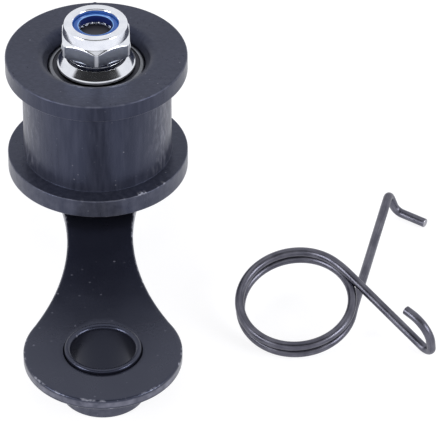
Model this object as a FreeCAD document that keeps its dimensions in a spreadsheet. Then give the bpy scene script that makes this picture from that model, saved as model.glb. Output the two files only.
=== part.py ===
import FreeCAD, Part
import math
import os
import re

import Sketcher

# Chain tensioner: a flanged roller on a flat arm, with a pivot bush at the arm's other end and a torsion
# spring that lies beside it. Millimetres and degrees. The origin is on the pivot's axis at the lower end
# of the bush, +Z runs up the bush's bore and +Y points along the arm to the roller.

sizes = {
    # Arm plate
    "centre_distance": 56.0,
    "eye_radius": 14.8,
    "end_radius": 9.9,
    "flank_radius": 58.6,
    "plate_thickness": 2.2,
    "plate_edge_radius": 0.4,
    "axle_hole_clearance": 0.2,
    # Pivot bush
    "boss_shoulder": 0.8,
    "boss_height": 7.9,
    "boss_chamfer": 0.4,
    "spigot_wall": 1.2,
    "spigot_rise": 0.7,
    "spigot_edge_radius": 0.3,
    "spigot_clearance": 0.1,
    "pivot_bore_radius": 6.0,
    # Axle bolt and the hexagons
    "axle_radius": 4.0,
    "axle_clearance": 0.05,
    "thread_relief": 0.4,
    "thread_clearance": 0.02,
    "bolt_end_drop": 2.6,
    "bolt_end_chamfer": 0.6,
    "hex_across_flats": 13.0,
    "hex_corner_cut": 0.25,
    "head_height": 7.9,
    "head_chamfer": 0.5,
    "head_flange_radius": 8.5,
    "head_flange_rim": 1.1,
    "head_flange_height": 2.6,
    # Roller
    "roller_radius": 17.65,
    "groove_depth": 3.15,
    "roller_height": 26.3,
    "flange_thickness": 3.5,
    "flange_edge_radius": 0.2,
    "groove_corner_radius": 0.25,
    "roller_gap": 1.6,
    "mouth_flare": 1.0,
    "mouth_edge_radius": 0.8,
    "bearing_recess": 2.2,
    "bearing_ledge": 1.0,
    # Ball bearings
    "bearing_outer_radius": 9.5,
    "seat_clearance": 0.02,
    "bearing_width": 6.0,
    "ball_radius": 1.5875,
    "ball_count": 7,
    "race_depth": 0.44,
    "race_clearance": 0.03,
    "shield_thickness": 0.4,
    "shield_recess": 0.2,
    "shield_lip": 0.55,
    "shield_clearance": 0.15,
    "cage_clearance": 0.35,
    "cage_edge": 0.35,
    "pocket_clearance": 0.06,
    # Collars on the axle
    "collar_foot_inset": 0.2,
    "collar_step": 0.3,
    "collar_overhang": 2.43,
    "collar_rim_height": 0.45,
    "collar_height": 2.98,
    "collar_top_radius": 6.3,
    "collar_neck": 0.83,
    # Lock nut and its nylon ring
    "nut_height": 6.67,
    "nut_chamfer": 0.5,
    "nut_hex_height": 3.75,
    "nut_crown_band": 2.3,
    "nut_crown_inset": 0.1,
    "nut_crown_draft": 0.3,
    "nut_crown_round": 0.5,
    "nut_lip_thickness": 0.85,
    "nut_lip_round": 0.45,
    "nut_lip_hold": 0.5,
    "nut_foot_overhang": 0.2,
    "nut_foot_height": 0.22,
    "nut_turn": 30.0,
    "insert_wall": 1.6,
    "insert_grip": 0.3,
    "insert_height": 1.9,
    "insert_bulge": 0.4,
    "insert_clearance": 0.02,
    "insert_edge_radius": 0.35,
    # Torsion spring
    "wire_radius": 0.875,
    "coil_radius": 10.75,
    "coil_gap": 0.1,
    "coil_whole_turns": 1,
    "spring_aside": 37.26,
    "spring_ahead": 19.44,
    "spring_lean": 15.94,
    "spring_lean_heading": -113.0,
    "leg_root_run": 2.0,
    "leg_root_radius": 10.0,
    "lower_leg_heading": 75.0,
    "lower_leg_length": 34.5,
    "lower_leg_droop": 13.16,
    "foot_heading": -34.3,
    "foot_length": 8.0,
    "foot_straight": 1.52,
    "foot_bend_radius": 1.6,
    "upper_leg_heading": -48.85,
    "upper_leg_length": 24.3,
    "upper_leg_droop": 15.61,
    "hook_bend_radius": 2.0,
    "hook_curve_radius": 4.5,
    "hook_straight": 5.0,
    "hook_return": 6.2,
}

# Heights of the stack on the roller's axle, as formulas of the sizes
plate_base = "boss_height"
plate_top = "(boss_height + plate_thickness)"
roller_base = f"({plate_top} + roller_gap)"
lower_bearing_base = f"({roller_base} + bearing_recess)"
upper_bearing_base = f"({roller_base} + roller_height - bearing_recess - bearing_width)"
collar_base = f"({upper_bearing_base} + bearing_width)"
nut_base = f"({collar_base} + collar_height)"
head_base = f"({plate_base} - head_height)"
spacer_length = "(roller_height - 2 * bearing_recess - 2 * bearing_width)"
shank_length = f"({nut_base} - {plate_base})"
thread_length = "(nut_height - bolt_end_drop)"

# Radii and heights that several pieces share
axle_bore = "(axle_radius + axle_clearance)"
spigot_radius = "(pivot_bore_radius + spigot_wall)"
boss_radius = f"({spigot_radius} + boss_shoulder)"
groove_radius = "(roller_radius - groove_depth)"
bearing_seat = "(bearing_outer_radius + seat_clearance)"
ball_pitch = f"(({axle_bore} + bearing_outer_radius) / 2)"
inner_shoulder = f"({ball_pitch} - ball_radius + race_depth)"
outer_shoulder = f"({ball_pitch} + ball_radius - race_depth)"
shield_seat = f"({outer_shoulder} + shield_lip)"
cage_height = "(2 * (ball_radius + pocket_clearance + cage_edge))"
collar_foot = f"({inner_shoulder} - collar_foot_inset)"
collar_rim = f"({collar_foot} + collar_overhang)"
hex_circumradius = "(hex_across_flats / sqrt(3))"
hex_corner_radius = f"({hex_circumradius} - hex_corner_cut)"
thread_radius = "(axle_radius - thread_relief)"
thread_bore = f"({thread_radius} + thread_clearance)"
insert_bore = f"({thread_radius} - insert_grip)"
insert_radius = f"({insert_bore} + insert_wall)"
nut_lip_radius = f"({insert_radius} - nut_lip_hold)"

doc = FreeCAD.newDocument("ChainTensioner")
sheet = doc.addObject("Spreadsheet::Sheet", "Sizes")
for row, (alias, number) in enumerate(sizes.items(), start=1):
    sheet.set(f"A{row}", alias.replace("_", " "))
    sheet.set(f"B{row}", str(number))
    sheet.setAlias(f"B{row}", alias)
doc.recompute()

up = FreeCAD.Vector(0, 0, 1)
nodes = []


def linked(formula):
    """Write a formula of size names as a formula of the sheet's cells."""
    def cell(word):
        return "Sizes." + word.group() if word.group() in sizes else word.group()
    return re.sub(r"[a-z_]+", cell, formula)


def value(formula):
    """Work out a formula of size names."""
    return float(sheet.evalExpression(linked(formula)))


def origin_item(body, role):
    """Find an origin plane or axis of a body by its role."""
    return next(item for item in body.Origin.OriginFeatures if item.Role == role)


def sketch_on(body, role, name):
    """Attach a new sketch to one of the body's own origin planes."""
    sketch = body.newObject("Sketcher::SketchObject", name)
    sketch.AttachmentSupport = [(origin_item(body, role), "")]
    sketch.MapMode = "FlatFace"
    return sketch


def hold(sketch, kind, *where, size):
    """Add a dimension that follows a formula of the sizes."""
    index = sketch.addConstraint(Sketcher.Constraint(kind, *where, value(size)))
    sketch.setExpression(f"Constraints[{index}]", linked(size))


def pin_point(sketch, line, end, across, along):
    """Hold a line's end at a distance from both sketch axes, or on an axis where the distance is 0."""
    for kind, axis, size in (("DistanceX", -2, across), ("DistanceY", -1, along)):
        if size == "0":
            sketch.addConstraint(Sketcher.Constraint("PointOnObject", line, end, axis))
        else:
            hold(sketch, kind, -1, 1, line, end, size=size)


def draw_outline(sketch, corners):
    """Draw a closed outline of straight lines through corners given as pairs of formulas."""
    points = [FreeCAD.Vector(value(across), value(along), 0) for across, along in corners]
    for start, end in zip(points, points[1:] + points[:1]):
        sketch.addGeometry(Part.LineSegment(start, end))
    for line, (across, along) in enumerate(corners):
        sketch.addConstraint(Sketcher.Constraint("Coincident", line, 2, (line + 1) % len(corners), 1))
        pin_point(sketch, line, 1, across, along)


def draw_circle(sketch, across, along, radius):
    """Draw a circle whose centre and radius follow formulas."""
    centre = FreeCAD.Vector(value(across), value(along), 0)
    circle = sketch.addGeometry(Part.Circle(centre, up, value(radius)))
    hold(sketch, "Radius", circle, size=radius)
    if across == "0" and along == "0":
        sketch.addConstraint(Sketcher.Constraint("Coincident", circle, 3, -1, 1))
    else:
        pin_point(sketch, circle, 3, across, along)


def spin(body, kind, sketch, name):
    """Turn a section once round the body's own axis, to add or to cut."""
    turning = body.newObject(kind, name)
    turning.Profile = sketch
    turning.ReferenceAxis = (sketch, ["V_Axis"])
    turning.Angle = 360
    doc.recompute()
    return turning


def turned(name, corners):
    """Make a turned piece from the corners of half its section, as pairs of radius and height."""
    body = doc.addObject("PartDesign::Body", name)
    sketch = sketch_on(body, "XZ_Plane", name + "_section")
    draw_outline(sketch, corners)
    spin(body, "PartDesign::Revolution", sketch, name + "_turning")
    return body


def ring(inner, outer, height):
    """Give the corners of half the section of a plain ring."""
    return [(inner, "0"), (outer, "0"), (outer, height), (inner, height)]


def cut_race(body):
    """Cut the balls' running groove into a bearing ring."""
    sketch = sketch_on(body, "XZ_Plane", body.Name + "_race_section")
    draw_circle(sketch, ball_pitch, "bearing_width / 2", "ball_radius + race_clearance")
    before = body.Shape.Volume
    spin(body, "PartDesign::Groove", sketch, body.Name + "_race")
    if body.Shape.Volume >= before:
        raise RuntimeError(body.Name + ": the race cut nothing")


def rim_edges(shape, rims):
    """Name the circular edges of a turned shape at the given pairs of radius and height."""
    names = []
    for radius, height in rims:
        for index, edge in enumerate(shape.Edges, start=1):
            is_circle = isinstance(edge.Curve, Part.Circle) and edge.isClosed()
            if not is_circle or abs(edge.Curve.Radius - value(radius)) > 1e-4:
                continue
            if abs(edge.Curve.Center.z - value(height)) < 1e-4:
                names.append(f"Edge{index}")
    return names


def ease(body, kind, size, edges):
    """Round or chamfer named edges of a body's last feature."""
    base = body.Tip
    easing = body.newObject(kind, f"{base.Name}_eased")
    easing.Base = (base, edges)
    easing.setExpression("Radius" if kind == "PartDesign::Fillet" else "Size", linked(size))
    doc.recompute()


def round_rims(body, radius, rims):
    """Round circular edges of a turned piece."""
    ease(body, "PartDesign::Fillet", radius, rim_edges(body.Tip.Shape, rims))


def chamfer_rims(body, size, rims):
    """Chamfer circular edges of a turned piece."""
    ease(body, "PartDesign::Chamfer", size, rim_edges(body.Tip.Shape, rims))


def place(item, along="0", height="0"):
    """Put a piece at a distance along the arm and a height, and count it as a sub-part."""
    item.setExpression("Placement.Base.y", linked(along))
    item.setExpression("Placement.Base.z", linked(height))
    nodes.append(item)


def hexagon(name, height):
    """Make the six-sided bar that a nut or a bolt's head is cut from."""
    bar = doc.addObject("Part::Prism", name)
    bar.Polygon = 6
    bar.setExpression("Circumradius", linked(hex_circumradius))
    bar.setExpression("Height", linked(height))
    bar.setExpression("Placement.Rotation.Angle", linked("nut_turn"))
    return bar


def joined(kind, name, base, tool):
    """Combine two shapes into one."""
    result = doc.addObject(kind, name)
    result.Base = base
    result.Tool = tool
    result.Refine = True
    doc.recompute()
    return result


def flank_centre():
    """Work out the centre of a flank's arc, which touches the eye's circle and the end's circle."""
    to_eye = value("eye_radius + flank_radius")
    to_end = value("end_radius + flank_radius")
    length = value("centre_distance")
    along = (length ** 2 + to_eye ** 2 - to_end ** 2) / (2 * length)
    return FreeCAD.Vector(math.sqrt(to_eye ** 2 - along ** 2), along, 0)


def draw_arm_outline(sketch):
    """Draw the eye, the waist's two hollow flanks and the rounded end, each arc tangent to the next."""
    flank = flank_centre()
    end = FreeCAD.Vector(0, value("centre_distance"), 0)
    low = math.atan2(flank.y, flank.x)
    high = math.atan2(flank.y - end.y, flank.x)
    eye = Part.Circle(FreeCAD.Vector(), up, value("eye_radius"))
    tip = Part.Circle(end, up, value("end_radius"))
    right = Part.Circle(flank, up, value("flank_radius"))
    left = Part.Circle(FreeCAD.Vector(-flank.x, flank.y, 0), up, value("flank_radius"))
    sketch.addGeometry(Part.ArcOfCircle(eye, math.pi - low, 2 * math.pi + low))
    sketch.addGeometry(Part.ArcOfCircle(right, math.pi + high, math.pi + low))
    sketch.addGeometry(Part.ArcOfCircle(tip, high, math.pi - high))
    sketch.addGeometry(Part.ArcOfCircle(left, -low, -high))
    for first, first_end, second, second_end in ((0, 2, 1, 2), (1, 1, 2, 1), (2, 2, 3, 2), (3, 1, 0, 1)):
        sketch.addConstraint(Sketcher.Constraint("Tangent", first, first_end, second, second_end))
    sketch.addConstraint(Sketcher.Constraint("Coincident", 0, 3, -1, 1))
    pin_point(sketch, 2, 3, "0", "centre_distance")
    for arc, radius in ((0, "eye_radius"), (1, "flank_radius"), (2, "end_radius"), (3, "flank_radius")):
        hold(sketch, "Radius", arc, size=radius)


def make_arm_plate():
    """Blank the arm from sheet steel with its two holes, and break the edges of its outline."""
    body = doc.addObject("PartDesign::Body", "arm_plate")
    sketch = sketch_on(body, "XY_Plane", "arm_plate_outline")
    draw_arm_outline(sketch)
    draw_circle(sketch, "0", "0", f"{spigot_radius} + spigot_clearance")
    draw_circle(sketch, "0", "centre_distance", "axle_radius + axle_hole_clearance")
    pad = body.newObject("PartDesign::Pad", "arm_plate_sheet")
    pad.Profile = sketch
    pad.setExpression("Length", linked("plate_thickness"))
    doc.recompute()
    outline = []
    for index, edge in enumerate(pad.Shape.Edges, start=1):
        if isinstance(edge.Curve, Part.Circle) and not edge.isClosed():
            outline.append(f"Edge{index}")
    ease(body, "PartDesign::Fillet", "plate_edge_radius", outline)
    place(body, height=plate_base)


def make_pivot_bush():
    """Turn the bush: a wide boss under the arm, a spigot through the eye and a through bore."""
    top = "(boss_height + plate_thickness + spigot_rise)"
    bush = turned("pivot_bush", [
        ("pivot_bore_radius", "0"),
        (boss_radius, "0"),
        (boss_radius, "boss_height"),
        (spigot_radius, "boss_height"),
        (spigot_radius, top),
        ("pivot_bore_radius", top),
    ])
    chamfer_rims(bush, "boss_chamfer", [(boss_radius, "0")])
    round_rims(bush, "spigot_edge_radius", [("pivot_bore_radius", top), (spigot_radius, top)])
    place(bush)


def make_roller():
    """Mould the roller: two flanges, a wide groove, and a stepped bore that seats a bearing at each end."""
    far_flange = "(roller_height - flange_thickness)"
    near_ledge = "(bearing_recess + bearing_width)"
    far_ledge = f"(roller_height - {near_ledge})"
    mouth = f"({bearing_seat} + mouth_flare)"
    hub_bore = f"({bearing_seat} - bearing_ledge)"
    roller = turned("roller", [
        (mouth, "0"),
        ("roller_radius", "0"),
        ("roller_radius", "flange_thickness"),
        (groove_radius, "flange_thickness"),
        (groove_radius, far_flange),
        ("roller_radius", far_flange),
        ("roller_radius", "roller_height"),
        (mouth, "roller_height"),
        (bearing_seat, "roller_height - bearing_recess"),
        (bearing_seat, far_ledge),
        (hub_bore, far_ledge),
        (hub_bore, near_ledge),
        (bearing_seat, near_ledge),
        (bearing_seat, "bearing_recess"),
    ])
    heights = ("0", "flange_thickness", far_flange, "roller_height")
    round_rims(roller, "flange_edge_radius", [("roller_radius", height) for height in heights])
    round_rims(roller, "groove_corner_radius", [(groove_radius, height) for height in heights[1:3]])
    round_rims(roller, "mouth_edge_radius", [(mouth, "0"), (mouth, "roller_height")])
    place(roller, "centre_distance", roller_base)


def make_bearing(side, base):
    """Make one shielded ball bearing: two rings, balls, their cage and two shields."""
    name = side + "_bearing_"
    pocket_depth = "(shield_recess + shield_thickness)"
    far_pocket = f"(bearing_width - {pocket_depth})"
    outer = turned(name + "outer_ring", [
        (shield_seat, "0"),
        ("bearing_outer_radius", "0"),
        ("bearing_outer_radius", "bearing_width"),
        (shield_seat, "bearing_width"),
        (shield_seat, far_pocket),
        (outer_shoulder, far_pocket),
        (outer_shoulder, pocket_depth),
        (shield_seat, pocket_depth),
    ])
    cut_race(outer)
    inner = turned(name + "inner_ring", ring(axle_bore, inner_shoulder, "bearing_width"))
    cut_race(inner)
    shield_section = ring(f"{inner_shoulder} + shield_clearance", shield_seat, "shield_thickness")
    lower_shield = turned(name + ("outer_shield" if side == "lower" else "inner_shield"), shield_section)
    upper_shield = turned(name + ("inner_shield" if side == "lower" else "outer_shield"), shield_section)
    place(outer, "centre_distance", base)
    place(inner, "centre_distance", base)
    place(lower_shield, "centre_distance", f"{base} + shield_recess")
    place(upper_shield, "centre_distance", f"{base} + {far_pocket}")
    place(make_balls(name + "balls"), "centre_distance", f"{base} + bearing_width / 2")
    place(make_cage(name + "cage"), "centre_distance", f"{base} + (bearing_width - {cage_height}) / 2")


def make_balls(name):
    """Set the balls evenly round the bearing's pitch circle."""
    balls = []
    for index in range(int(value("ball_count"))):
        ball = doc.addObject("Part::Sphere", f"{name}_{index + 1}")
        turn = f"(360 / ball_count * {index})"
        ball.setExpression("Radius", linked("ball_radius"))
        ball.setExpression("Placement.Base.x", linked(f"{ball_pitch} * cos({turn})"))
        ball.setExpression("Placement.Base.y", linked(f"{ball_pitch} * sin({turn})"))
        balls.append(ball)
    group = doc.addObject("Part::Compound", name)
    group.Links = balls
    doc.recompute()
    return group


def make_cage(name):
    """Make the cage: a ring midway between the two rings, with a round pocket for each ball."""
    inner = f"({inner_shoulder} + cage_clearance)"
    outer = f"({outer_shoulder} - cage_clearance)"
    body = turned(name, ring(inner, outer, cage_height))
    blank = body.Shape.Volume
    sketch = sketch_on(body, "YZ_Plane", name + "_pocket_section")
    draw_circle(sketch, "0", f"{cage_height} / 2", "ball_radius + pocket_clearance")
    pocket = body.newObject("PartDesign::Pocket", name + "_pocket")
    pocket.Profile = sketch
    pocket.setExpression("Length", linked("bearing_outer_radius"))
    pocket.Reversed = True
    doc.recompute()
    if body.Shape.Volume >= blank:
        raise RuntimeError(name + ": the pocket cut nothing")
    pattern = body.newObject("PartDesign::PolarPattern", name + "_pockets")
    pattern.Originals = [pocket]
    pattern.Axis = (origin_item(body, "Z_Axis"), [""])
    pattern.Angle = 360
    pattern.setExpression("Occurrences", linked("ball_count"))
    body.Tip = pattern
    doc.recompute()
    return body


def make_collars():
    """Turn the rings that clamp the bearings' inner rings on the axle."""
    rim_top = "(collar_step + collar_rim_height)"
    upper = turned("upper_collar", [
        (axle_bore, "0"),
        (collar_foot, "0"),
        (collar_foot, "collar_step"),
        (collar_rim, "collar_step"),
        (collar_rim, rim_top),
        ("collar_top_radius", "collar_height - collar_neck"),
        ("collar_top_radius", "collar_height"),
        (axle_bore, "collar_height"),
    ])
    place(upper, "centre_distance", collar_base)
    lower = turned("lower_collar", ring(axle_bore, collar_foot, "roller_gap + bearing_recess"))
    place(lower, "centre_distance", plate_top)
    spacer = turned("bearing_spacer", ring(axle_bore, collar_foot, spacer_length))
    place(spacer, "centre_distance", f"{lower_bearing_base} + bearing_width")


def make_axle_bolt():
    """Make the bolt: a flanged hexagon head below the arm, a plain shank and a threaded end in the nut."""
    head_face = "(hex_across_flats / 2 - head_chamfer / 4)"
    blank = turned("axle_bolt_head_blank", [
        ("0", "0"),
        (head_face, "0"),
        (hex_corner_radius, "head_chamfer"),
        (hex_corner_radius, "head_height"),
        ("0", "head_height"),
    ])
    head = joined("Part::Common", "axle_bolt_head", hexagon("axle_bolt_hexagon", "head_height"), blank)
    shank_end = f"(head_height + {shank_length})"
    bolt_end = f"({shank_end} + {thread_length})"
    shank = turned("axle_bolt_shank", [
        ("0", "head_height - head_flange_height"),
        ("hex_across_flats / 2", "head_height - head_flange_height"),
        ("head_flange_radius", "head_height - head_flange_rim"),
        ("head_flange_radius", "head_height"),
        ("axle_radius", "head_height"),
        ("axle_radius", shank_end),
        (thread_radius, shank_end),
        (thread_radius, bolt_end),
        ("0", bolt_end),
    ])
    chamfer_rims(shank, "bolt_end_chamfer", [(thread_radius, bolt_end)])
    place(joined("Part::Fuse", "axle_bolt", head, shank), "centre_distance", head_base)


def make_lock_nut():
    """Make the lock nut: a chamfered hexagon under a crown whose lip is rolled over the nylon ring."""
    seat = f"({insert_radius} + insert_clearance)"
    lip_base = "(nut_height - nut_lip_thickness)"
    insert_shoulder = "(insert_height - insert_bulge)"
    seat_base = f"({lip_base} - {insert_shoulder})"
    crown_foot = "(hex_across_flats / 2 - nut_crown_inset)"
    crown = f"({crown_foot} - nut_crown_draft)"
    blank = turned("lock_nut_blank", [
        (thread_bore, "0"),
        ("hex_across_flats / 2 - nut_chamfer / 4", "0"),
        (hex_corner_radius, "nut_chamfer"),
        (hex_corner_radius, "nut_hex_height"),
        (crown_foot, "nut_height - nut_crown_band"),
        (crown, "nut_height"),
        (nut_lip_radius, "nut_height"),
        (nut_lip_radius, lip_base),
        (seat, lip_base),
        (seat, seat_base),
        (thread_bore, seat_base),
    ])
    round_rims(blank, "nut_crown_round", [(crown, "nut_height")])
    round_rims(blank, "nut_lip_round", [(nut_lip_radius, "nut_height")])
    cut_blank = joined("Part::Common", "lock_nut_cut", hexagon("lock_nut_hexagon", "nut_height"), blank)
    foot = turned("lock_nut_foot", ring(thread_bore, "hex_across_flats / 2 + nut_foot_overhang", "nut_foot_height"))
    place(joined("Part::Fuse", "lock_nut", cut_blank, foot), "centre_distance", nut_base)
    # The nylon bulges up inside the lip
    insert = turned("nut_insert", [
        (insert_bore, "0"),
        (insert_radius, "0"),
        (insert_radius, insert_shoulder),
        (f"{nut_lip_radius} - insert_clearance", insert_shoulder),
        (insert_bore, "insert_height"),
    ])
    round_rims(insert, "insert_edge_radius", [(insert_bore, "insert_height")])
    place(insert, "centre_distance", f"{nut_base} + {seat_base}")


def heading(angle, climb=0.0):
    """Give the unit direction at an angle from +X, climbing by a share of its run."""
    turn = math.radians(angle)
    return FreeCAD.Vector(math.cos(turn), math.sin(turn), climb).normalize()


def bent_run(points, radii):
    """Join points by straight lines with an arc of its own radius at each inner point."""
    edges = []
    start = points[0]
    for before, corner, after, radius in zip(points, points[1:], points[2:], radii):
        arriving = (corner - before).normalize()
        leaving = (after - corner).normalize()
        half_turn = arriving.getAngle(leaving) / 2
        reach = radius * math.tan(half_turn)
        inward = (leaving - arriving).normalize()
        middle = corner + inward * (radius / math.cos(half_turn) - radius)
        edges.append(Part.makeLine(start, corner - arriving * reach))
        start = corner + leaving * reach
        edges.append(Part.Arc(corner - arriving * reach, middle, start).toShape())
    edges.append(Part.makeLine(start, points[-1]))
    return edges


def make_torsion_spring():
    """Bend the spring from round wire: foot, lower leg, coil, upper leg and hook, at rest on the floor."""
    wire = value("wire_radius")
    radius = value("coil_radius")
    pitch = value("2 * wire_radius + coil_gap")
    climb = pitch / (2 * math.pi * radius)
    lower = value("lower_leg_heading")
    upper = value("upper_leg_heading")
    # The coil winds clockwise seen from above, from the lower leg's line round to the upper leg's line
    start_angle = lower - 90
    sweep = 360 * value("coil_whole_turns") + (lower + 180 - upper) % 360
    rise = pitch * sweep / 360
    coil = Part.makeHelix(pitch, rise, radius, 0, True)
    coil.rotate(FreeCAD.Vector(), up, start_angle)
    coil_start = heading(start_angle) * radius
    coil_end = heading(start_angle - sweep) * radius + up * rise
    # Each leg goes on along the coil for a short run, then droops below the coil's plane
    lower_droop = math.tan(math.radians(value("lower_leg_droop")))
    upper_droop = math.tan(math.radians(value("upper_leg_droop")))
    lower_root = coil_start - heading(lower + 180, climb) * value("leg_root_run")
    lower_end = lower_root + heading(lower, -lower_droop) * value("lower_leg_length")
    foot_corner = lower_end - up * value("2 * foot_bend_radius + foot_straight")
    foot_tip = foot_corner + heading(value("foot_heading")) * value("foot_length")
    upper_root = coil_end + heading(upper, climb) * value("leg_root_run")
    upper_end = upper_root + heading(upper, -upper_droop) * value("upper_leg_length")
    hook_corner = upper_end + up * value("2 * hook_bend_radius + hook_straight")
    hook_tip = hook_corner - heading(upper) * value("hook_return")
    root_bend = value("leg_root_radius")
    foot_bend = value("foot_bend_radius")
    hook_bend = value("hook_bend_radius")
    hook_curve = value("hook_curve_radius")
    lower_points = [foot_tip, foot_corner, lower_end, lower_root, coil_start]
    upper_points = [coil_end, upper_root, upper_end, hook_corner, hook_tip]
    lower_run = bent_run(lower_points, [foot_bend, foot_bend, root_bend])
    upper_run = bent_run(upper_points, [root_bend, hook_bend, hook_curve])
    path = Part.Wire(lower_run + coil.Edges + upper_run)
    tip_face = Part.makeCircle(wire, foot_tip, foot_corner - foot_tip)
    sweeper = Part.BRepOffsetAPI.MakePipeShell(path)
    sweeper.add(Part.Wire([tip_face]))
    sweeper.build()
    sweeper.makeSolid()
    solid = sweeper.shape()
    expected = math.pi * wire ** 2 * path.Length
    if abs(solid.Volume / expected - 1) > 0.01:
        raise RuntimeError("torsion_spring: the wire's volume isn't its section times its length")
    # The spring leans on the foot, the hook's bend and the coil's front, which all touch the floor
    leaning = FreeCAD.Rotation(heading(value("spring_lean_heading") + 90), value("spring_lean"))
    leant = solid.copy()
    leant.Placement = FreeCAD.Placement(FreeCAD.Vector(), leaning)
    lift = -leant.optimalBoundingBox().ZMin
    spot = FreeCAD.Vector(value("spring_aside"), value("spring_ahead"), lift)
    spring = doc.addObject("Part::Feature", "torsion_spring")
    spring.Shape = solid
    spring.Placement = FreeCAD.Placement(spot, leaning)
    nodes.append(spring)


make_arm_plate()
make_pivot_bush()
make_roller()
make_bearing("lower", lower_bearing_base)
make_bearing("upper", upper_bearing_base)
make_collars()
make_axle_bolt()
make_lock_nut()
make_torsion_spring()
doc.recompute()

for item in doc.Objects:
    if "Invalid" in item.State or "Error" in item.State:
        raise RuntimeError(f"{item.Label} failed: {item.State}")
for node in nodes:
    if node.Shape.isNull() or not node.Shape.isValid() or not node.Shape.Solids:
        raise RuntimeError(f"{node.Label} has no valid solid")

os.makedirs("parts", exist_ok=True)
for node in nodes:
    node.Shape.exportStep(f"parts/{node.Label}.step")
    print(node.Label, len(node.Shape.Solids), "solid", round(node.Shape.Volume, 1), "cubic mm")
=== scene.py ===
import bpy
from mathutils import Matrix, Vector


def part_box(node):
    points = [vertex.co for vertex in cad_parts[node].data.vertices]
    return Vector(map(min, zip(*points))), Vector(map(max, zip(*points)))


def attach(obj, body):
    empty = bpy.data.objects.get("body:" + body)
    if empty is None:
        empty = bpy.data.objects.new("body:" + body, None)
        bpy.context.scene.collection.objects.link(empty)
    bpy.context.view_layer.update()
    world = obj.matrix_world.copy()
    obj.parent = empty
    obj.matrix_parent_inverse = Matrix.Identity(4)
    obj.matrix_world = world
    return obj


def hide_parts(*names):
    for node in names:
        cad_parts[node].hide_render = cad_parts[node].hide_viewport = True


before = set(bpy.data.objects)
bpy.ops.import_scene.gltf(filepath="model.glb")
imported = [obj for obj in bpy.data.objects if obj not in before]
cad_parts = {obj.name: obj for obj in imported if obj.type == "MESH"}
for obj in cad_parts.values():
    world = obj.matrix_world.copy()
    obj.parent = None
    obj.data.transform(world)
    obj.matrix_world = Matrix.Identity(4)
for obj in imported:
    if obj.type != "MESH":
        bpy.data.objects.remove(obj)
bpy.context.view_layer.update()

import math

import bmesh
import bpy
import numpy as np
from mathutils import Matrix

# Chain tensioner: a flanged roller on a flat arm, a pivot bush, and a torsion spring lying beside them.
# Shapes are worked out in millimetres and put into the meshes in metres, in the frame's own place.
mm = 0.001
scene = bpy.context.scene


def boxOf(node):    # a node's lowest and highest corner in millimetres
    low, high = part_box(node)
    return np.array(low) / mm, np.array(high) / mm


plateLow, plateHigh = boxOf("arm_plate")
rollerLow, rollerHigh = boxOf("roller")
axle = (rollerLow + rollerHigh) / 2    # the roller's axis stands at its x and y
pivot = np.zeros(3)                    # the bush's axis is the frame's own z axis


def take(sizes, names):    # the named sizes of a piece, in that order
    return (sizes[name] for name in names.split())


def addObject(name, data):    # an object for a mesh, lamp or camera, put into the scene
    thing = bpy.data.objects.new(name, data)
    scene.collection.objects.link(thing)
    return thing


# Shared shapes

def unit(vectors):    # every vector divided by its length
    return vectors / np.linalg.norm(vectors, axis=-1, keepdims=True)


def eased(low, high, x):    # smooth step: 0 below low, 1 above high, with level ends
    t = np.clip((x - low) / (high - low), 0, 1)
    return t * t * (3 - 2 * t)


# Closed outline: each corner turns into an arc of its own radius that touches both its sides, and each side
# gets points at fixed shares of its length. The second result is the corner's mark on its arc and 0 on the
# sides: a paler edge that is partly wear and partly a painted highlight.
def roundedOutline(corners, arcSteps=7, sideShares=(0.03, 0.35, 0.65, 0.97)):
    table = np.array([(*corner, 0.0)[:4] for corner in corners], float)
    corner, radius, wear = table[:, :2], table[:, 2:3], table[:, 3:4]
    arriving = unit(corner - np.roll(corner, 1, axis=0))
    leaving = unit(np.roll(corner, -1, axis=0) - corner)
    cross = arriving[:, 0] * leaving[:, 1] - arriving[:, 1] * leaving[:, 0]
    turn = np.arctan2(cross, (arriving * leaving).sum(axis=1))[:, None]
    reach = radius * np.tan(np.abs(turn) / 2)
    start = corner - arriving * reach
    end = corner + leaving * reach
    inward = np.stack([-arriving[:, 1], arriving[:, 0]], axis=1) * np.sign(turn)
    centre = start + inward * radius
    spoke = start - centre
    angle = turn * np.linspace(0, 1, arcSteps)
    arc = centre[:, None] + np.stack([
        spoke[:, :1] * np.cos(angle) - spoke[:, 1:] * np.sin(angle),
        spoke[:, :1] * np.sin(angle) + spoke[:, 1:] * np.cos(angle)], axis=-1)
    side = end[:, None] + (np.roll(start, -1, axis=0) - end)[:, None] * np.array(sideShares)[:, None]
    points = np.concatenate([arc, side], axis=1)
    wornAndGlint = np.zeros(points.shape[:2])
    wornAndGlint[:, :arcSteps] = wear * np.sin(np.linspace(0, np.pi, arcSteps))
    closed = np.concatenate([points.reshape(-1, 2), points[0, :1]])
    return closed, np.append(wornAndGlint.reshape(-1), wornAndGlint[0, 0])


# Turned shape: radius and height of a profile carried once round an upright axis, on a grid of
# profile points by angles. The radius may be a whole grid already.
def turnedSheet(radius, height, place, turns, **marks):
    radius, height, turns = np.broadcast_arrays(radius, height, turns)
    points = np.stack([place[0] + radius * np.cos(turns), place[1] + radius * np.sin(turns), height], axis=-1)
    return {"points": points, **{key: np.broadcast_to(mark, radius.shape) for key, mark in marks.items()}}


def fullTurn(count):    # angles of one turn, the last one step short of the first
    return np.arange(count) * (2 * np.pi / count)


def turnedProfile(profile, place, sides, **marks):    # a profile of radius and height, carried once round
    return turnedSheet(profile[:, :1], profile[:, 1:], place, fullTurn(sides), **marks)


# Six-sided bar: distance from the axis to the flat at each angle, corners at the given turn
def hexRadius(turns, acrossFlats, cornerTurn):
    fromFlat = (turns - cornerTurn) % (np.pi / 3) - np.pi / 6
    return acrossFlats / 2 / np.cos(fromFlat)


def threadWave(height, pitch, turns):    # 1 to 0 and back over each pitch, rising one pitch each turn
    phase = (height / pitch - turns / (2 * np.pi)) % 1
    return np.abs(2 * phase - 1)


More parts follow.
